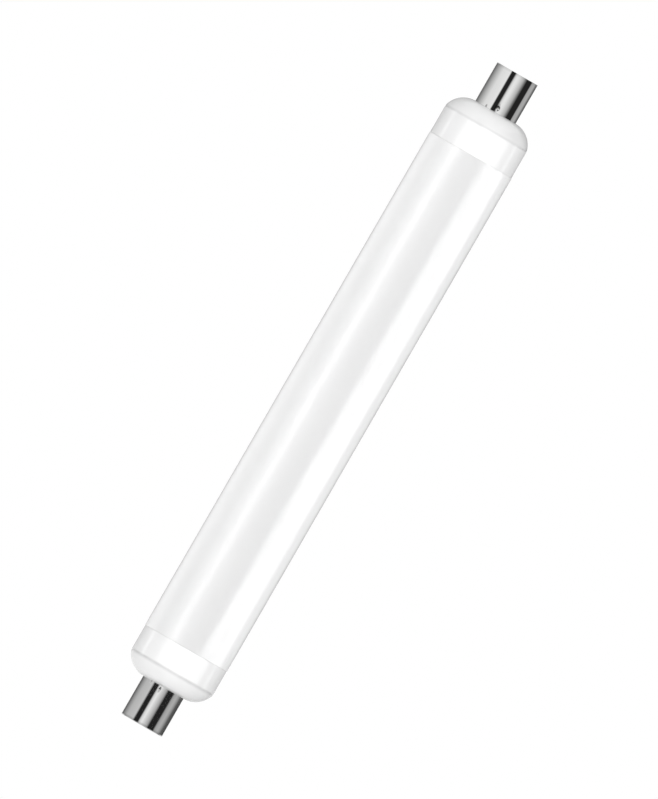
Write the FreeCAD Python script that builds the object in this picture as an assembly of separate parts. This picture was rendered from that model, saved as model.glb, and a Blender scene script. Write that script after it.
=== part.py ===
import FreeCAD, Part
import math
import os
from dataclasses import dataclass

# Tubular LED striplight lamp: an opal tube plugged at both ends by a white moulded end cap,
# each carrying a plated metal shell that is the lamp's contact and its fixing in the lampholder.
# Millimetres. The lamp stands on its lower shell: the origin is the centre of that shell's end
# face, and +Z runs up the axis. A length called s is measured from one end face inwards.

# Whole lamp
overall_length = 309.0

# Opal tube
tube_radius = 19.39
tube_wall = 1.5
tube_edge_break = 0.15

# White end caps
collar_step = 0.15
shoulder_chords = 6
crease_depth = 0.12
crease_width = 0.35
spigot_length = 6.0
spigot_clearance = 0.1
spigot_end_gap = 0.5
neck_length = 12.0
neck_clearance = 0.05
lead_bore_radius = 2.0

# Plated contact shells
shell_radius = 9.51
shell_wall = 0.3
shell_edge_break = 0.25
recess_radius = 4.8
recess_depth = 0.6

# Dimples that stake each shell into the groove of its neck
dimple_count = 4
dimple_depth = 0.4
dimple_height = 1.55
dimple_clearance = 0.05
punch_radius = 1.4
punch_straight = 0.7
punch_taper = 2.6

# Rivets that close the shells and clinch the lead wires
rivet_head_radius = 1.9
rivet_head_height = 0.45
rivet_shank_radius = 0.9
rivet_hole_clearance = 0.05
rivet_tail_radius = 1.5
rivet_tail_height = 0.4

# Radii that follow from those above
collar_radius = tube_radius - collar_step
socket_radius = tube_radius - tube_wall
spigot_radius = socket_radius - spigot_clearance
shell_bore_radius = shell_radius - shell_wall
neck_radius = shell_bore_radius - neck_clearance
groove_radius = shell_bore_radius - dimple_depth - dimple_clearance
rivet_hole_radius = rivet_shank_radius + rivet_hole_clearance

origin = FreeCAD.Vector(0, 0, 0)
up = FreeCAD.Vector(0, 0, 1)


@dataclass
class End:
    """One end of the lamp. The two ends differ a little in their lengths, in millimetres of s."""
    upper: bool
    shell_length: float
    shoulder_height: float
    collar_length: float
    first_dimple_deg: float

    @property
    def crease(self):
        return self.shell_length + self.shoulder_height

    @property
    def joint(self):
        return self.crease + self.collar_length

    def z(self, s):
        return overall_length - s if self.upper else s


lower_end = End(upper=False, shell_length=18.0, shoulder_height=7.4, collar_length=11.09,
                first_dimple_deg=-7.0)
upper_end = End(upper=True, shell_length=18.2, shoulder_height=7.8, collar_length=12.45,
                first_dimple_deg=-1.5)


def turned(section):
    """The solid that a half section, a loop of (radius, z) points, makes when it turns about the axis."""
    corners = [FreeCAD.Vector(radius, 0, z) for radius, z in section]
    outline = Part.makePolygon(corners + corners[:1])
    return Part.Face(outline).revolve(origin, up, 360)


def turned_at(end, section):
    """Like turned, for (radius, s) points at one end of the lamp."""
    return turned([(radius, end.z(s)) for radius, s in section])


def punch(growth):
    """The tapered tip of the staking tool, upright on the origin, grown by a wall or a clearance."""
    radius = punch_radius + growth
    half = punch_straight / 2
    tip = half + radius * punch_taper
    return turned([(0, -tip), (radius, -half), (radius, half), (0, tip)])


def punches(end, growth):
    """The ring of punches where they stand in one shell's wall, pressed in from outside."""
    tool = punch(growth)
    reach = shell_radius + punch_radius - dimple_depth
    tool.translate(FreeCAD.Vector(0, -reach, end.z(end.shell_length - dimple_height)))
    ring = []
    for index in range(dimple_count):
        pressed = tool.copy()
        pressed.rotate(origin, up, end.first_dimple_deg + index * 360.0 / dimple_count)
        ring.append(pressed)
    return ring


def make_tube():
    """Sealed opal tube with its light engine, counterbored at both ends for the end caps' spigots."""
    socket_depth = spigot_length + spigot_end_gap
    low = lower_end.z(lower_end.joint)
    high = upper_end.z(upper_end.joint)
    return turned([
        (0, low + socket_depth),
        (socket_radius, low + socket_depth),
        (socket_radius, low),
        (tube_radius - tube_edge_break, low),
        (tube_radius, low + tube_edge_break),
        (tube_radius, high - tube_edge_break),
        (tube_radius - tube_edge_break, high),
        (socket_radius, high),
        (socket_radius, high - socket_depth),
        (0, high - socket_depth),
    ])


def shoulder(end):
    """Chords of the arc that leaves the seat of the shell's rim level and ends under the crease's step."""
    across = collar_radius - crease_depth - shell_radius
    along = end.shoulder_height - crease_width / 2
    radius = (across ** 2 + along ** 2) / (2 * along)
    sweep = math.atan2(across, radius - along)
    points = []
    for step in range(shoulder_chords + 1):
        angle = sweep * step / shoulder_chords
        points.append((shell_radius + radius * math.sin(angle),
                       end.shell_length + radius - radius * math.cos(angle)))
    return points


def make_end_cap(end):
    """White moulding, solid in its closed inside: spigot, collar, crease, shoulder and grooved neck."""
    neck_end = end.shell_length - neck_length
    dimple_reach = punch_straight / 2 + dimple_depth * punch_taper
    groove_end = end.shell_length - dimple_height - dimple_reach - dimple_clearance
    return turned_at(end, [
        (lead_bore_radius, neck_end),
        (neck_radius, neck_end),
        (neck_radius, groove_end),
        (groove_radius, groove_end),
        (groove_radius, end.shell_length),
        *shoulder(end),
        (collar_radius, end.crease + crease_width / 2),
        (collar_radius, end.joint),
        (spigot_radius, end.joint),
        (spigot_radius, end.joint + spigot_length),
        (lead_bore_radius, end.joint + spigot_length),
    ])


def make_shell(end):
    """Deep-drawn plated cup, its end recessed for the rivet, and dimpled where it is staked on."""
    past_rim = end.shell_length + shell_wall
    outside = turned_at(end, [
        (rivet_hole_radius, recess_depth),
        (recess_radius, recess_depth),
        (recess_radius, 0),
        (shell_radius - shell_edge_break, 0),
        (shell_radius, shell_edge_break),
        (shell_radius, end.shell_length),
        (rivet_hole_radius, end.shell_length),
    ])
    inside = turned_at(end, [
        (0, recess_depth + shell_wall),
        (recess_radius + shell_wall, recess_depth + shell_wall),
        (recess_radius + shell_wall, shell_wall),
        (shell_bore_radius, shell_wall),
        (shell_bore_radius, past_rim),
        (0, past_rim),
    ])
    return outside.cut(punches(end, 0)).cut(inside.cut(punches(end, shell_wall)))


def make_rivet(end):
    """Rivet through the shell's end, its head sunk in the recess and its tail clinched inside."""
    head_top = recess_depth - rivet_head_height
    tail_seat = recess_depth + shell_wall
    tail_end = tail_seat + rivet_tail_height
    return turned_at(end, [
        (0, head_top),
        (rivet_head_radius, head_top),
        (rivet_head_radius, recess_depth),
        (rivet_shank_radius, recess_depth),
        (rivet_shank_radius, tail_seat),
        (rivet_tail_radius, tail_seat),
        (rivet_tail_radius, tail_end),
        (0, tail_end),
    ])


pieces = {
    "opal_tube": make_tube(),
    "lower_end_cap": make_end_cap(lower_end),
    "upper_end_cap": make_end_cap(upper_end),
    "lower_contact_shell": make_shell(lower_end),
    "upper_contact_shell": make_shell(upper_end),
    "lower_contact_rivet": make_rivet(lower_end),
    "upper_contact_rivet": make_rivet(upper_end),
}

os.makedirs("parts", exist_ok=True)
for name, piece in pieces.items():
    piece.exportStep(f"parts/{name}.step")
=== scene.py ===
import math

import bmesh
import bpy
from mathutils import Matrix, Vector


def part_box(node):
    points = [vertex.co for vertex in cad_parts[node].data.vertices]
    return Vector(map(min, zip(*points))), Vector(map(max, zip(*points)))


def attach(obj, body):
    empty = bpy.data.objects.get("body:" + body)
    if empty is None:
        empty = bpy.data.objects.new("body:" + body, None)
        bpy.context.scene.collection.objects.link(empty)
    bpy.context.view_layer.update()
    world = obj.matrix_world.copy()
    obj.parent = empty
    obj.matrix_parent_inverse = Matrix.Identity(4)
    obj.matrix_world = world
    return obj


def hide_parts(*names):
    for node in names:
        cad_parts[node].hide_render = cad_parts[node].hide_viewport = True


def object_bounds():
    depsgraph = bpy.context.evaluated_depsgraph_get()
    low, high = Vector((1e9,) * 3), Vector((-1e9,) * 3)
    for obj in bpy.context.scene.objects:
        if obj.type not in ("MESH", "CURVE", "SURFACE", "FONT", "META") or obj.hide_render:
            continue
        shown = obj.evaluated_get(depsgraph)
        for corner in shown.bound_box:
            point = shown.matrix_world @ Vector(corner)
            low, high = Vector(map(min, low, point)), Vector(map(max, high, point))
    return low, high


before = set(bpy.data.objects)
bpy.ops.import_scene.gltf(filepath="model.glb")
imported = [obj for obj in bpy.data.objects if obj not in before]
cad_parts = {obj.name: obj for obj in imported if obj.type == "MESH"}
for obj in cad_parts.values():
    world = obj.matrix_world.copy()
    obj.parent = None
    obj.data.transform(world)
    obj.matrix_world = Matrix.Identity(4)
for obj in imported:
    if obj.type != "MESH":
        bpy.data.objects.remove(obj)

cad_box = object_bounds()
mm = 0.001

# Opal tube: an extruded length of milky plastic, cut square, that hides the board of LEDs sealed
# inside it. Its surface is glossy, with faint lines along it from the extruder's die.
tube_radius = 19.39 * mm
tube_wall = 1.5 * mm
tube_edge_rounding = 0.15 * mm
tube_socket_depth = 6.5 * mm
tube_colour = (0.955, 0.955, 0.955)
tube_shade_colour = (0.935, 0.935, 0.935)
tube_roughness = (0.22, 0.28)
milk_scale = 45
die_line_stretch = (900, 900, 3)
die_line_depth = 0.002 * mm
tube_low, tube_high = (corner.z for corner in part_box("opal_tube"))

# A ring of points this far in from an edge keeps the shading of the long straight wall even.
straight_start = 0.4 * mm

rounding_segments = 5
turned_segments = 256
weld_distance = 0.001 * mm
sharp_angle = math.radians(22)


def draw_outline(bm, corners):
    """Wire through (radius, z) corners, in the XZ plane. Returns its vertices in order."""
    outline = [bm.verts.new((radius, 0, z)) for radius, z in corners]
    for start, end in zip(outline, outline[1:]):
        bm.edges.new((start, end))
    return outline


def round_corner(bm, corner, radius):
    """Fillets one corner of an outline before it is turned."""
    bmesh.ops.bevel(bm, geom=[corner], offset=radius, offset_type="OFFSET",
                    segments=rounding_segments, profile=0.5, affect="VERTICES", material=-1)


def turn(bm, segments):
    """Spins the outline in bm once about the lamp's axis and closes it where it meets the axis."""
    bmesh.ops.spin(bm, geom=bm.verts[:] + bm.edges[:], cent=(0, 0, 0), axis=(0, 0, 1),
                   dvec=(0, 0, 0), angle=math.tau, steps=segments, use_merge=True)
    bmesh.ops.remove_doubles(bm, verts=bm.verts[:], dist=weld_distance)
    bmesh.ops.recalc_face_normals(bm, faces=bm.faces[:])


def finished_piece(bm, name, material):
    """Shades bm smooth up to its sharp edges and makes it an object of that name."""
    for face in bm.faces:
        face.smooth = True
    for edge in bm.edges:
        edge.smooth = edge.calc_face_angle(math.pi) < sharp_angle
    mesh = bpy.data.meshes.new(name)
    bm.to_mesh(mesh)
    bm.free()
    mesh.materials.append(material)
    piece = bpy.data.objects.new(name, mesh)
    bpy.context.scene.collection.objects.link(piece)
    return piece


class Signal:
    """An output socket of a node. Arithmetic on signals adds Math nodes."""

    def __init__(self, socket):
        self.socket = socket

    def node(self, kind, settings, inputs, output=0):
        """Adds a node: its settings first, then the values or signals of its sockets."""
        made = self.socket.id_data.nodes.new(kind)
        for key, value in settings.items():
            if key == "stops":
                elements = made.color_ramp.elements
                for _ in value[2:]:
                    elements.new(1)
                for stop, (position, shade) in zip(elements, value):
                    stop.position = position
                    stop.color = (shade, shade, shade, 1)
            else:
                setattr(made, key, value)
        for key, value in inputs.items():
            if isinstance(value, Signal):
                made.id_data.links.new(value.socket, made.inputs[key])
            else:
                made.inputs[key].default_value = value
        return Signal(made.outputs[output])

    def math(self, operation, other):
        return self.node("ShaderNodeMath", {"operation": operation}, {0: self, 1: other})

    def __add__(self, other):
        return self.math("ADD", other)

    def __sub__(self, other):
        return self.math("SUBTRACT", other)

    def __mul__(self, other):
        return self.math("MULTIPLY", other)

    def __rsub__(self, other):
        return self.node("ShaderNodeMath", {"operation": "SUBTRACT"}, {0: other, 1: self})

    __radd__ = __add__
    __rmul__ = __mul__

    def noise(self, scale, detail):
        return self.node("ShaderNodeTexNoise", {},
                         {"Vector": self, "Scale": scale, "Detail": detail})

    def stretched(self, scale):
        return self.node("ShaderNodeMapping", {}, {"Vector": self, "Scale": scale})

    def between(self, low, high):
        """Maps 0..1 to low..high."""
        return self * (high - low) + low

    def tint(self, first, last):
        """The colour that this signal picks between two, each a colour or a signal of one."""
        first, last = (end if isinstance(end, Signal) else (*end, 1) for end in (first, last))
        return self.node("ShaderNodeMix", {"data_type": "RGBA"},
                         {"Factor": self, 6: first, 7: last}, output=2)

    def bump(self, depth):
        return self.node("ShaderNodeBump", {}, {"Height": self, "Distance": depth})


def new_finish(name, **settings):
    """A material with its surface shader set. Returns it, the shader and Object coordinates."""
    material = bpy.data.materials.new(name)
    material.use_nodes = True
    nodes = material.node_tree.nodes
    surface = nodes["Principled BSDF"]
    for key, value in settings.items():
        surface.inputs[key.replace("_", " ")].default_value = value
    place = Signal(nodes.new("ShaderNodeTexCoord").outputs["Object"])
    return material, surface, place


def feed(surface, **signals):
    """Links signals to the shader's sockets."""
    for key, signal in signals.items():
        surface.id_data.links.new(signal.socket, surface.inputs[key.replace("_", " ")])


opal, opal_surface, place = new_finish("opal_plastic", IOR=1.49)
milk = place.noise(milk_scale, detail=3)
die_lines = place.stretched(die_line_stretch).noise(scale=1, detail=2)
feed(opal_surface,
     Base_Color=milk.tint(tube_shade_colour, tube_colour),
     Roughness=die_lines.between(*tube_roughness),
     Normal=die_lines.bump(die_line_depth))

bm = bmesh.new()
outline = draw_outline(bm, [
    (0, tube_low + tube_socket_depth),
    (tube_radius - tube_wall, tube_low + tube_socket_depth),
    (tube_radius - tube_wall, tube_low),
    (tube_radius, tube_low),
    (tube_radius, tube_low + straight_start),
    (tube_radius, tube_high - straight_start),
    (tube_radius, tube_high),
    (tube_radius - tube_wall, tube_high),
    (tube_radius - tube_wall, tube_high - tube_socket_depth),
    (0, tube_high - tube_socket_depth),
])
for corner in (outline[3], outline[6]):
    round_corner(bm, corner, tube_edge_rounding)
turn(bm, turned_segments)
opal_tube = finished_piece(bm, "opal_tube_dressed", opal)
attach(opal_tube, "root")
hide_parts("opal_tube")

# End caps: white mouldings glued into the tube. Each has a straight collar, a fine crease, a round
# shoulder that comes in level to the metal shell, and a neck that fills the shell.
collar_radius = 19.24 * mm
collar_edge_rounding = 0.06 * mm
shoulder_drop = 0.02 * mm
shoulder_steps = 40
crease_depth = 0.3 * mm
crease_half_width = 0.13 * mm
crease_edge_rounding = 0.05 * mm
joint_relief = 0.1 * mm
joint_relief_depth = 0.25 * mm
spigot_radius = 17.79 * mm
spigot_length = 6.0 * mm
shell_radius = 9.51 * mm
neck_radius = 9.16 * mm
neck_length = 12.0 * mm
neck_groove_radius = 8.76 * mm
neck_groove_height = 3.0 * mm
lead_bore_radius = 2.0 * mm
cap_colour = (0.93, 0.93, 0.93)
cap_shade_colour = (0.91, 0.91, 0.91)
cap_roughness = (0.15, 0.2)
flow_scale = 60
grain_scale = 9000
grain_depth = 0.003 * mm
# Painted shade: the moulding's colour is darkened beside the shell's rim and at the crease, where
# shade falls, with patchy noise through it.
painted_shade_colour = (0.70, 0.70, 0.70)
painted_shade_scale = 300
painted_shade_patchiness = (0.6, 1.4)
painted_shade_from_crease = 0.3 * mm
lamp_length = cad_box[1].z - cad_box[0].z


class End:
    """One end of the lamp, where s is the distance in from its end face."""

    def __init__(self, name, upper, shell_length, shoulder_height, first_dimple_deg,
                 dimple_from_rim, dimple_half_width, end_wear, rim_painted_shade, crease_painted_shade):
        self.name = name
        self.upper = upper
        self.shell_length = shell_length
        self.crease = shell_length + shoulder_height
        self.joint = lamp_length - tube_high if upper else tube_low
        self.first_dimple = math.radians(first_dimple_deg)
        self.dimple_from_rim = dimple_from_rim
        self.dimple_half_width = dimple_half_width
        self.end_wear = end_wear
        # Bands of painted shade beside the shell's rim and at the crease, each at its middle in s,
        # with how far it reaches and how strong it is.
        self.painted_shade_bands = ((shell_length, *rim_painted_shade),
                      (self.crease - painted_shade_from_crease, *crease_painted_shade))

    def z(self, s):
        return lamp_length - s if self.upper else s

    def s(self, z):
        return lamp_length - z if self.upper else z


ends = [
    End("lower", upper=False, shell_length=18.0 * mm, shoulder_height=7.4 * mm,
        first_dimple_deg=-6.0, dimple_from_rim=1.46 * mm, dimple_half_width=0.62 * mm,
        end_wear=0.3, rim_painted_shade=(1.1 * mm, 1.4), crease_painted_shade=(1.0 * mm, 0.8)),
    End("upper", upper=True, shell_length=18.2 * mm, shoulder_height=7.8 * mm,
        first_dimple_deg=0.4, dimple_from_rim=1.7 * mm, dimple_half_width=0.92 * mm,
        end_wear=0.12, rim_painted_shade=(0.4 * mm, 0.7), crease_painted_shade=(0.8 * mm, 0.42)),
]

moulding, moulding_surface, place = new_finish("white_moulding", IOR=1.5)
flow = place.noise(flow_scale, detail=2)
grain = place.noise(grain_scale, detail=2)
height = place.node("ShaderNodeSeparateXYZ", {}, {"Vector": place}, output=2)

# Painted shade starts from none, and each band counts where it is stronger than the others.
painted_shade = height * 0
for end in ends:
    for s, reach, amount in end.painted_shade_bands:
        away = (height - end.z(s)).math("ABSOLUTE", 0)
        painted_shade = painted_shade.math("MAXIMUM", amount - away * (amount / reach))
painted_shade = painted_shade * place.noise(painted_shade_scale, detail=2).between(*painted_shade_patchiness)
# The painted shade darkens the moulding's own colour.
feed(moulding_surface,
     Base_Color=painted_shade.tint(flow.tint(cap_shade_colour, cap_colour), painted_shade_colour),
     Roughness=flow.between(*cap_roughness),
     Normal=grain.bump(grain_depth))


def draw_shoulder(bm, end, first, last_radius, last_s):
    """Swings first round the shoulder's centre until it reaches last_radius at last_s."""
    across = last_radius - shell_radius
    along = last_s - end.shell_length
    arc_radius = (across ** 2 + along ** 2) / (2 * along)
    sweep = math.atan2(across, arc_radius - along)
    centre = (shell_radius, 0, end.z(end.shell_length + arc_radius))
    swung = bmesh.ops.spin(bm, geom=[first], cent=centre, axis=(0, 1 if end.upper else -1, 0),
                           dvec=(0, 0, 0), angle=sweep, steps=shoulder_steps)
    return next(part for part in swung["geom_last"] if isinstance(part, bmesh.types.BMVert))


end_caps = []
for end in ends:
    bm = bmesh.new()
    arc_end = (collar_radius - shoulder_drop, end.crease - crease_half_width)
    from_shoulder = draw_outline(bm, [(radius, end.z(s)) for radius, s in [
        (collar_radius - crease_depth, end.crease - crease_half_width),
        (collar_radius - crease_depth, end.crease + crease_half_width),
        (collar_radius, end.crease + crease_half_width),
        (collar_radius, end.crease + straight_start),
        (collar_radius, end.joint - straight_start),
        (collar_radius, end.joint - joint_relief),
        (collar_radius - joint_relief_depth, end.joint - joint_relief),
        (collar_radius - joint_relief_depth, end.joint),
        (spigot_radius, end.joint),
        (spigot_radius, end.joint + spigot_length),
        (lead_bore_radius, end.joint + spigot_length),
        (lead_bore_radius, end.shell_length - neck_length),
        (neck_radius, end.shell_length - neck_length),
        (neck_radius, end.shell_length - neck_groove_height),
        (neck_groove_radius, end.shell_length - neck_groove_height),
        (neck_groove_radius, end.shell_length),
        (shell_radius, end.shell_length),
    ]])
    arc_last = draw_shoulder(bm, end, from_shoulder[-1], *arc_end)
    bm.edges.new((arc_last, from_shoulder[0]))
    round_corner(bm, from_shoulder[2], crease_edge_rounding)
    round_corner(bm, from_shoulder[5], collar_edge_rounding)
    turn(bm, turned_segments)
    end_cap = finished_piece(bm, end.name + "_end_cap_dressed", moulding)
    end_caps.append(end_cap)
    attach(end_cap, "root")
    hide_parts(end.name + "_end_cap")

# Contact shells: cups deep-drawn from thin sheet and plated bright. Each is pushed over its neck
# and staked there by dimples that a punch presses into the neck's groove.
shell_wall = 0.3 * mm
shell_edge_rounding = 0.06 * mm
recess_radius = 4.8 * mm
recess_depth = 0.6 * mm
recess_rounding = 0.25 * mm
rivet_hole_radius = 0.95 * mm
staked_length = 5.0 * mm
staked_cuts = 29
shell_segments = 480
shell_colour = (0.80, 0.80, 0.795)
shell_haze_colour = (0.775, 0.775, 0.77)
shell_roughness = (0.03, 0.06)
haze_scale = 140
drawing_line_stretch = (2600, 2600, 25)
drawing_line_depth = 0.0006 * mm
# The colour of the worn end and of the painted dark reflections on the plate.
wear_and_painted_reflection_colour = (0.03, 0.03, 0.03)
painted_reflection_sharpness = 2.5
worn_end = 0.6 * mm
wear_reach = 0.5 * mm
dimple_count = 4
dimple_half_height = 1.28 * mm
dimple_depth = 0.32 * mm
dimple_steepness = 1.2
rim_mark = {"from_rim": 0, "half_width": 0.5 * mm, "half_height": 1.4 * mm}
rim_mark_depth = 0.14 * mm
rim_mark_turn = math.radians(-29.5)

# Painted reflections at a dimple and at a rim mark, dark patches that stand in for what the plate
# mirrors there: how far aside and from the rim, half width and half height, all in millimetres,
# and darkness. A darkness below 0 takes the painted dark back off and leaves a painted bright
# patch.
painted_reflections = {
    "upper": ((-0.2, 1.8, 1.4, 1.8, 1.0), (0.26, 1.2, 1.1, 1.2, -1), (-0.1, 3.0, 0.7, 1.4, 0.3)),
    "lower": ((0.05, 1.7, 0.7, 1.7, 0.4), (0.05, 0.9, 0.46, 0.9, 0.8)),
}
rim_painted_reflection = (0, 0.3, 0.55, 1.2, 0.5)

plate, plate_surface, place = new_finish("bright_plate", Metallic=1.0)
drawing_lines = place.stretched(drawing_line_stretch).noise(scale=1, detail=3)
haze = place.noise(haze_scale, detail=4)
# The plate's colour darkens where its end edge is worn and where dark reflections are painted in
# at the dimples and rim marks.
wear_and_painted_reflection_mask = place.node("ShaderNodeAttribute", {"attribute_name": "stain"}, {}, output=2)
feed(plate_surface,
     Base_Color=wear_and_painted_reflection_mask.tint(haze.tint(shell_haze_colour, shell_colour), wear_and_painted_reflection_colour),
     Roughness=haze.between(*shell_roughness),
     Normal=drawing_lines.bump(drawing_line_depth))


def inside_oval(bm, end, turn_angle, from_rim, half_width, half_height):
    """Vertices in an oval on a shell's wall, each with a share: 1 at its centre, 0 at its edge."""
    centre_s = end.shell_length - from_rim
    for vert in bm.verts:
        swing = math.remainder(math.atan2(vert.co.x, -vert.co.y) - turn_angle, math.tau)
        reach = math.hypot(swing * shell_radius / half_width,
                           (end.s(vert.co.z) - centre_s) / half_height)
        if reach < 1:
            yield vert, 0.5 + 0.5 * math.cos(math.pi * reach)


def press(bm, end, turn_angle, depth, oval):
    """Presses an oval mark into the wall of a shell."""
    for vert, share in list(inside_oval(bm, end, turn_angle, **oval)):
        radius = math.hypot(vert.co.x, vert.co.y)
        kept = (radius - depth * share ** dimple_steepness) / radius
        vert.co.x *= kept
        vert.co.y *= kept


def stain(bm, end, turn_angle, aside, from_rim, half_width, half_height, darkness):
    """Paints a dark reflection into the plate in an oval of millimetres, or below a darkness of 0
    takes it off again for a painted bright patch.
    """
    layer = bm.verts.layers.float["stain"]
    oval = inside_oval(bm, end, turn_angle + aside * mm / shell_radius, from_rim * mm,
                       half_width * mm, half_height * mm)
    for vert, share in oval:
        reach = min(1, share * painted_reflection_sharpness)
        if darkness > 0:
            vert[layer] = max(vert[layer], reach * darkness)
        else:
            vert[layer] *= 1 + reach * darkness


for end in ends:
    bm = bmesh.new()
    bm.verts.layers.float.new("stain")
    outline = draw_outline(bm, [(radius, end.z(s)) for radius, s in [
        (rivet_hole_radius, recess_depth),
        (recess_radius, recess_depth),
        (recess_radius, 0),
        (shell_radius, 0),
        (shell_radius, shell_edge_rounding + straight_start),
        (shell_radius, 2 * worn_end),
        (shell_radius, end.shell_length - staked_length),
        (shell_radius, end.shell_length),
    ]])
    round_corner(bm, outline[1], recess_rounding)
    round_corner(bm, outline[2], recess_rounding)
    round_corner(bm, outline[3], shell_edge_rounding)
    staked = [edge for edge in outline[6].link_edges if outline[7] in edge.verts]
    bmesh.ops.subdivide_edges(bm, edges=staked, cuts=staked_cuts)
    turn(bm, shell_segments)
    # The cup is open, so its faces may have been turned inwards.
    cup_centre = Vector((0, 0, end.z(end.shell_length / 2)))
    if sum(face.normal.dot(face.calc_center_median() - cup_centre) for face in bm.faces) < 0:
        bmesh.ops.reverse_faces(bm, faces=bm.faces[:])
    layer = bm.verts.layers.float["stain"]
    for vert in bm.verts:
        from_axis = math.hypot(vert.co.x, vert.co.y)
        if end.s(vert.co.z) < worn_end and from_axis > shell_radius - wear_reach:
            vert[layer] = end.end_wear
    dimple = {"from_rim": end.dimple_from_rim, "half_width": end.dimple_half_width,
              "half_height": dimple_half_height}
    for index in range(dimple_count):
        around = end.first_dimple + index * math.tau / dimple_count
        press(bm, end, around, dimple_depth, dimple)
        # Painted reflections at each dimple, and at every other rim mark below.
        for marks in painted_reflections[end.name]:
            stain(bm, end, around, *marks)
        if index % 2 == 0:
            press(bm, end, around + rim_mark_turn, rim_mark_depth, rim_mark)
            stain(bm, end, around + rim_mark_turn, *rim_painted_reflection)
    bmesh.ops.solidify(bm, geom=bm.faces[:], thickness=shell_wall)
    shell = finished_piece(bm, end.name + "_contact_shell_dressed", plate)
    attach(shell, "root")
    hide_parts(end.name + "_contact_shell")

# Contact rivets: tinned, with a low domed head sunk in the recess of the shell's end. The tail
# inside is clinched over the bared end of the lead.
rivet_head_radius = 1.9 * mm
rivet_head_height = 0.45 * mm
rivet_head_rounding = 0.3 * mm
rivet_shank_radius = 0.9 * mm
rivet_tail_radius = 1.5 * mm
rivet_tail_height = 0.4 * mm
rivet_segments = 64
tin_colour = (0.72, 0.72, 0.7)
tin_shade_colour = (0.62, 0.62, 0.6)
tin_roughness = (0.25, 0.42)
smear_scale = 900
smear_depth = 0.01 * mm

tin, tin_surface, place = new_finish("tinned_rivet", Metallic=1.0)
smear = place.noise(smear_scale, detail=4)
feed(tin_surface,
     Base_Color=smear.tint(tin_shade_colour, tin_colour),
     Roughness=smear.between(*tin_roughness),
     Normal=smear.bump(smear_depth))

for end in ends:
    bm = bmesh.new()
    tail_seat = recess_depth + shell_wall
    outline = draw_outline(bm, [(radius, end.z(s)) for radius, s in [
        (0, recess_depth - rivet_head_height),
        (rivet_head_radius, recess_depth - rivet_head_height),
        (rivet_head_radius, recess_depth),
        (rivet_shank_radius, recess_depth),
        (rivet_shank_radius, tail_seat),
        (rivet_tail_radius, tail_seat),
        (rivet_tail_radius, tail_seat + rivet_tail_height),
        (0, tail_seat + rivet_tail_height),
    ]])
    round_corner(bm, outline[1], rivet_head_rounding)
    turn(bm, rivet_segments)
    rivet = finished_piece(bm, end.name + "_contact_rivet_dressed", tin)
    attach(rivet, "root")
    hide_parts(end.name + "_contact_rivet")

# Camera: square on to the lamp's middle from the front, leaning so that the lamp's upper end
# points to the right at 30 degrees from upright. It looks along +Y without perspective.
lean = math.radians(-30)
frame_height = 0.3282
frame_shift = (-0.23 * mm, 0, 0.02 * mm)
camera_distance = 1.5
view_depth = 20
middle = lamp_length / 2

camera = bpy.data.objects.new("camera", bpy.data.cameras.new("camera"))
bpy.context.scene.collection.objects.link(camera)
camera.data.type = "ORTHO"
camera.data.sensor_fit = "VERTICAL"
camera.data.ortho_scale = frame_height
camera.data.clip_end = view_depth
camera.matrix_world = (Matrix.Translation((0, -camera_distance, middle))
                       @ Matrix.Rotation(lean, 4, "Y") @ Matrix.Translation(frame_shift)
                       @ Matrix.Rotation(math.radians(90), 4, "X"))
bpy.context.scene.camera = camera

# Studio: a pale floor in a white room, a large soft light in front and one above, and softboxes,
# screens and cards round the lamp that its gloss and its plate pick up.
white = (1, 1, 1, 1)
floor_colour = (0.93, 0.93, 0.93, 1)
floor_side = 12.0
floor_front = -1.35
floor_drop = 0.1 * mm
room_level = 0.54


def plain_material(name, kind, **inputs):
    """A material of one shader, with its sockets set."""
    material = bpy.data.materials.new(name)
    material.use_nodes = True
    tree = material.node_tree
    shader = tree.nodes.new(kind)
    for key, value in inputs.items():
        shader.inputs[key].default_value = value
    tree.links.new(shader.outputs[0], tree.nodes["Material Output"].inputs["Surface"])
    return material


def stage_card(name, width, height, place, material):
    """A flat card of the studio. It faces along the Z of its place."""
    bm = bmesh.new()
    bmesh.ops.create_grid(bm, x_segments=1, y_segments=1, size=0.5,
                          matrix=Matrix.Diagonal((width, height, 1, 1)))
    card = finished_piece(bm, name, material)
    card.matrix_world = place
    return card


def facing_lamp(angle_deg, distance, height):
    """A place round the lamp: 0 degrees is towards the camera, and more goes to its right."""
    angle = math.radians(angle_deg)
    spot = Vector((math.sin(angle), -math.cos(angle), 0)) * distance
    return (Matrix.Translation(spot + Vector((0, 0, height))) @ Matrix.Rotation(angle, 4, "Z")
            @ Matrix.Rotation(math.radians(-90), 4, "X"))


# The floor ends short of the front light, and the white room shows past its edge.
floor = stage_card("floor", floor_side, floor_side,
                   Matrix.Translation((0, floor_front + floor_side / 2, -floor_drop)),
                   plain_material("pale_floor", "ShaderNodeBsdfDiffuse", Color=floor_colour))
floor.visible_glossy = False

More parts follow.
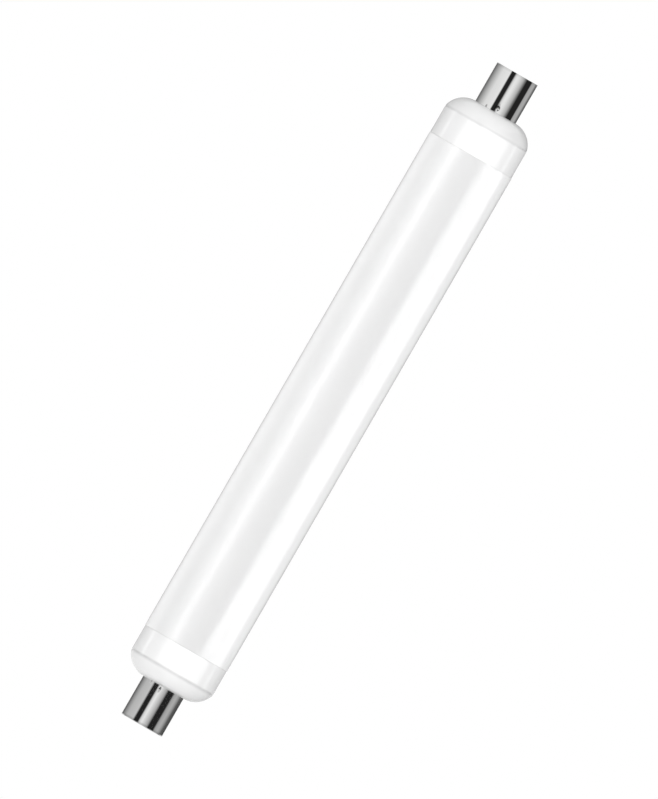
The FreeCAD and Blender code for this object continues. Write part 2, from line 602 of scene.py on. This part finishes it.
# The room lights the lamp at its level, and is white where the camera or a reflection sees it.
world = bpy.data.worlds.new("white_room")
bpy.context.scene.world = world
world.use_nodes = True
nodes, links = world.node_tree.nodes, world.node_tree.links
lit = nodes["Background"]
lit.inputs["Color"].default_value = white
lit.inputs["Strength"].default_value = room_level
seen = nodes.new("ShaderNodeBackground")
seen.inputs["Color"].default_value = white
seen.inputs["Strength"].default_value = 1
path = nodes.new("ShaderNodeLightPath")
camera_ray = Signal(path.outputs["Is Camera Ray"])
is_seen = camera_ray.math("MAXIMUM", Signal(path.outputs["Is Glossy Ray"])).math(
    "MAXIMUM", Signal(path.outputs["Is Transmission Ray"]))
mixed = nodes.new("ShaderNodeMixShader")
links.new(is_seen.socket, mixed.inputs[0])
links.new(lit.outputs[0], mixed.inputs[1])
links.new(seen.outputs[0], mixed.inputs[2])
links.new(mixed.outputs[0], nodes["World Output"].inputs["Surface"])

# A light shines along its own -Z, so one that stands in a card's place is turned over.
turned_over = Matrix.Rotation(math.pi, 4, "X")
softbox_distance = 0.6
softbox_height = 1.2
wrap_distance = 1.5
wrap_width = 0.8
wrap_height = 1.2
bounce_width = 0.62
bounce_depth = 0.54
bounce_level = 0.18


def soft_light(name, width, height, watts, place):
    """A rectangular light that the camera doesn't see."""
    light = bpy.data.lights.new(name, "AREA")
    light.shape = "RECTANGLE"
    light.size = width
    light.size_y = height
    light.energy = watts
    lamp = bpy.data.objects.new(name, light)
    bpy.context.scene.collection.objects.link(lamp)
    lamp.matrix_world = place
    lamp.visible_camera = False
    return lamp


def glow_watts(level, width, height):
    """The watts that make a light of this size glow at a level, where 1 is white."""
    return level * width * height * math.pi


front_light = soft_light(
    "front_light", width=1.0, height=1.0, watts=13.7,
    place=facing_lamp(angle_deg=9, distance=1.5, height=middle) @ turned_over)
top_light = soft_light("top_light", width=1.5, height=1.5, watts=4.2,
                       place=Matrix.Translation((-0.7, -0.1, 1.5)))
top_light.visible_glossy = False
front_light.visible_glossy = False

# What a light falls on or is blocked by. A collection that only excludes a piece stands for all
# the others.
tube_only = bpy.data.collections.new("tube_only")
tube_only.objects.link(opal_tube)
caps_only = bpy.data.collections.new("caps_only")
for end_cap in end_caps:
    caps_only.objects.link(end_cap)
lamp_only = bpy.data.collections.new("lamp_only")
lamp_only.objects.link(floor)
lamp_only.collection_objects[0].light_linking.link_state = "EXCLUDE"

# Each softbox: what it falls on, degrees round the lamp, width, height and level.
for name, receivers, angle, width, box_height, level in (
        ("left_softbox", tube_only, -40, 0.66, softbox_height, 1.1),
        ("left_core_softbox", tube_only, -39, 0.16, softbox_height, 3.7),
        ("right_softbox", tube_only, 74, 0.82, softbox_height, 4.6),
        ("rear_softbox", tube_only, -120, 0.4, softbox_height, 0.6),
        ("right_rear_softbox", tube_only, 122, 0.3, softbox_height, 0.6),
        ("caps_softbox", caps_only, 10, 2.25, 0.5, 2.3),
        ("caps_left_strip", caps_only, -97, 0.09, 0.7, 2.4),
        ("caps_right_strip", caps_only, 96, 0.09, 0.7, 2.3)):
    box = soft_light(name, width, box_height, glow_watts(level, width, box_height),
                     facing_lamp(angle, softbox_distance, middle) @ turned_over)
    box.visible_diffuse = False
    box.light_linking.receiver_collection = receivers
    box.light_linking.blocker_collection = lamp_only
# Each light that wraps the tube's sides: degrees round the lamp and watts.
for name, angle, watts in (("left_wrap", -54, 5.65), ("right_wrap", 54, 4.35)):
    wrap = soft_light(name, wrap_width, wrap_height, watts,
                      facing_lamp(angle, wrap_distance, middle) @ turned_over)
    wrap.visible_glossy = False
    wrap.light_linking.receiver_collection = tube_only
    wrap.light_linking.blocker_collection = lamp_only
floor_bounce = soft_light("floor_bounce", bounce_width, bounce_depth,
                          glow_watts(bounce_level, bounce_width, bounce_depth),
                          Matrix.Translation((-0.28, -0.03, 1 * mm)) @ turned_over)
floor_bounce.visible_glossy = False
floor_bounce.light_linking.receiver_collection = caps_only
all_but_tube = bpy.data.collections.new("all_but_tube")
all_but_tube.objects.link(opal_tube)
all_but_tube.collection_objects[0].light_linking.link_state = "EXCLUDE"
front_light.light_linking.receiver_collection = all_but_tube

# A screen's tones by degrees round the lamp, 0 towards the camera and more to its right.
upper_end = ends[1]
upper_tones = [
    (-180, 0.1), (-138, 0.18), (-115, 0.38), (-92, 0.62), (-70, 0.88), (-31, 0.97),
    (-26, 0.02), (-8, 0.02), (-1, 0.82), (8, 1.0), (18, 0.92), (38, 0.56), (49, 0.21), (57, 0.02),
    (86, 0.02), (92, 0.46), (114, 0.5), (132, 0.2), (146, 0.1), (180, 0.1)]
upper_back_tones = [
    (-180, 0.1), (-145, 0.18), (-121, 0.38), (120, 0.5), (139, 0.2), (153, 0.1), (180, 0.1)]
above_back_tones = [(-180, 0.35), (-121, 0.45), (120, 0.25), (180, 0.35)]
lower_tones = [
    (-180, 0.08), (-144, 0.16), (-120, 0.38), (-98, 0.57), (-56, 0.66), (-47, 0.02),
    (-26, 0.02), (-19, 0.8), (-8, 1.0), (0, 0.84), (12, 0.63), (22, 0.45), (32, 0.02), (61, 0.02),
    (70, 0.43), (89, 0.52), (104, 0.36), (120, 0.12), (144, 0.08), (180, 0.08)]
lower_tray_tones = [
    (-180, 1.0), (-75, 1.0), (-46, 0.4), (-25, 0.4), (-8, 1.0), (12, 0.8), (31, 0.4), (59, 0.4),
    (75, 0.6), (120, 0.5), (147, 0.5), (162, 0.5), (180, 1.0)]
near_ring = 60 * mm
far_ring = 300 * mm
ring_segments = 144
rear_card_spread = 3.4

# A face is in the third behind the lamp where it lies further back than this share of the radius.
back_share = 0.5


def only_reflected(card):
    """Hides a card from all but reflections."""
    card.visible_camera = False
    card.visible_diffuse = False
    card.visible_shadow = False


def banded_glow(name, tones):
    """Glows in bands of tone round the lamp, and is clear from its back."""
    material = bpy.data.materials.new(name)
    material.use_nodes = True
    tree = material.node_tree
    place = Signal(tree.nodes.new("ShaderNodeTexCoord").outputs["Object"])
    to_right = place.node("ShaderNodeSeparateXYZ", {}, {"Vector": place})
    to_camera = Signal(to_right.socket.node.outputs["Y"]) * -1
    turn_share = to_right.math("ARCTAN2", to_camera) * (1 / math.tau) + 0.5
    stops = [(degrees / 360 + 0.5, tone) for degrees, tone in tones]
    glow = place.node("ShaderNodeEmission", {}, {
        "Color": place.node("ShaderNodeValToRGB", {"stops": stops}, {0: turn_share})})
    clear = place.node("ShaderNodeBsdfTransparent", {}, {})
    from_back = Signal(tree.nodes.new("ShaderNodeNewGeometry").outputs["Backfacing"])
    seen = place.node("ShaderNodeMixShader", {}, {0: from_back, 1: glow, 2: clear})
    tree.links.new(seen.socket, tree.nodes["Material Output"].inputs["Surface"])
    return material


def reflection_ring(name, ring_radius, low, high, tones, behind):
    """The third behind the lamp, or the rest, of a round screen that one shell's plate mirrors."""
    bm = bmesh.new()
    bmesh.ops.create_cone(bm, cap_ends=False, segments=ring_segments, radius1=ring_radius,
                          radius2=ring_radius, depth=high - low,
                          matrix=Matrix.Translation((0, 0, (low + high) / 2)))
    bmesh.ops.reverse_faces(bm, faces=bm.faces[:])
    unused = [face for face in bm.faces
              if (face.calc_center_median().y > ring_radius * back_share) != behind]
    bmesh.ops.delete(bm, geom=unused, context="FACES")
    ring = finished_piece(bm, name, banded_glow(name, tones))
    only_reflected(ring)


def reflection_tray(name, width, height, tones):
    """A level screen below one shell, which its plate mirrors when it is seen from above."""
    only_reflected(stage_card(name, width, width, Matrix.Translation((0, 0, height)),
                              banded_glow(name, tones)))


def rear_card(name, width, height, distance, centre, tone, finish):
    """An evenly glowing card behind the lamp, its centre at a height."""
    only_reflected(stage_card(
        name, width, height, facing_lamp(180, distance, centre),
        plain_material(finish, "ShaderNodeEmission", Color=white, Strength=tone)))


reflection_ring("upper_ring", near_ring, low=upper_end.z(24 * mm), high=lamp_length + 40 * mm,
                tones=upper_tones, behind=False)
reflection_ring("upper_back", far_ring, low=upper_end.z(19 * mm), high=lamp_length + 1 * mm,
                tones=upper_back_tones, behind=True)
reflection_ring("above_back", far_ring, low=lamp_length + 1 * mm, high=lamp_length + 200 * mm,
                tones=above_back_tones, behind=True)
reflection_tray("upper_tray", width=600 * mm, height=upper_end.z(26.5 * mm), tones=upper_tones)
reflection_ring("lower_ring", far_ring, low=-20 * mm, high=24 * mm, tones=lower_tones,
                behind=False)
reflection_ring("lower_back", far_ring, low=-1 * mm, high=19 * mm, tones=lower_tones, behind=True)
reflection_tray("lower_tray", width=700 * mm, height=-40 * mm, tones=lower_tray_tones)

rear_card("rear_strip", width=0.33, height=tube_high - tube_low, distance=0.3, centre=middle,
          tone=0.05, finish="dark_card")
# Each card behind an end: its distance, low edge, high edge and tone.
for name, away, low, high, tone in (
        ("upper_rear_card", 0.29, upper_end.z(38 * mm), upper_end.z(18 * mm), 0.55),
        ("lower_rear_card", 0.12, 25.5 * mm, 38 * mm, 0.55),
        ("lower_shoulder_card", 0.12, 18.4 * mm, 25.3 * mm, 0.9)):
    rear_card(name, away * rear_card_spread, high - low, away, (low + high) / 2, tone, name)

bpy.context.scene.view_settings.view_transform = "Standard"
